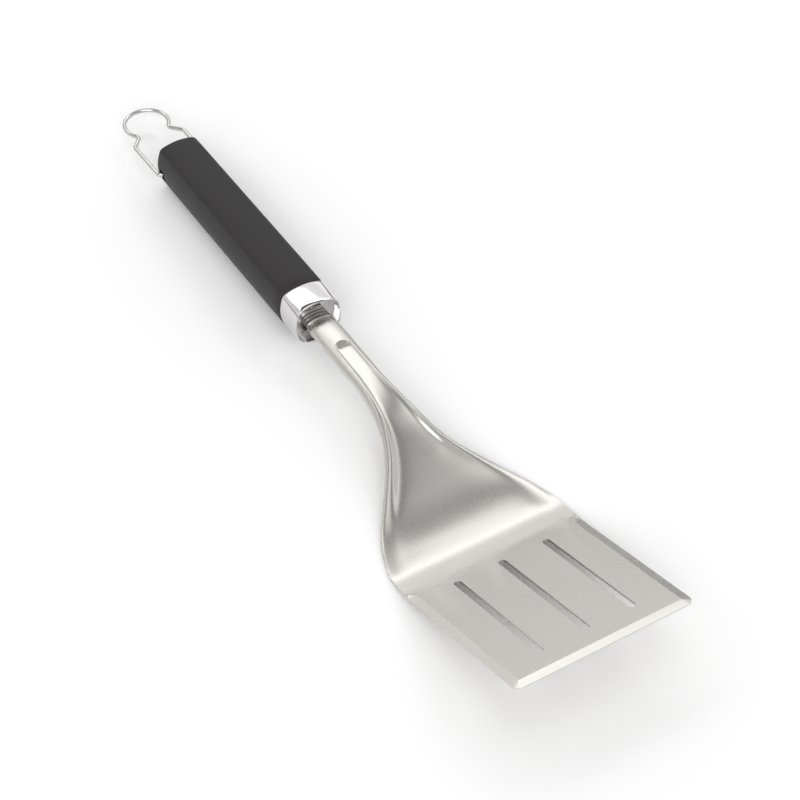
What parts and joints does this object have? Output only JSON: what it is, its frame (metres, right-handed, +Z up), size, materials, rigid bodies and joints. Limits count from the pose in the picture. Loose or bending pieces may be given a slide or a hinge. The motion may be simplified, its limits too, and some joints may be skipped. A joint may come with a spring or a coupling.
{
  "type": "grill spatula",
  "caption": "Slotted stainless spatula with ground edges, a dished channel neck, a polished ferrule, a black soft-touch handle and a swinging wire loop to hang it by.",
  "frame": {"origin": "centre of the footprint, on the surface the spatula lies on (heel and rear of the handle touch it)", "axes": "+Y from the blade's front edge towards the hanging loop, +Z up, +X across the blade"},
  "size_m": [0.1006, 0.4887, 0.0385],
  "materials": {
    "stainless_sheet": "satin",
    "stainless_bar": "machined",
    "chrome_casting": "polished",
    "nylon_core": "moulded",
    "soft_grip": "soft-touch",
    "fastener_steel": "plain",
    "cap_plastic": "moulded",
    "loop_wire": "drawn wire"
  },
  "bodies": {
    "spatula": {"spatula_head": "stainless_sheet", "tang": "stainless_bar", "ferrule": "chrome_casting", "handle_core": "nylon_core", "grip": "soft_grip", "tang_washer": "fastener_steel", "tang_nut": "fastener_steel", "end_cap": "cap_plastic"},
    "loop": {"hang_loop": "loop_wire"}
  },
  "joints": [
    {"name": "loop_swing", "type": "hinge", "parent": "spatula", "child": "loop", "pos_m": [0, 0.18265, 0.01253], "axis": [1, 0, 0], "range_deg": [-140, 150]}
  ]
}
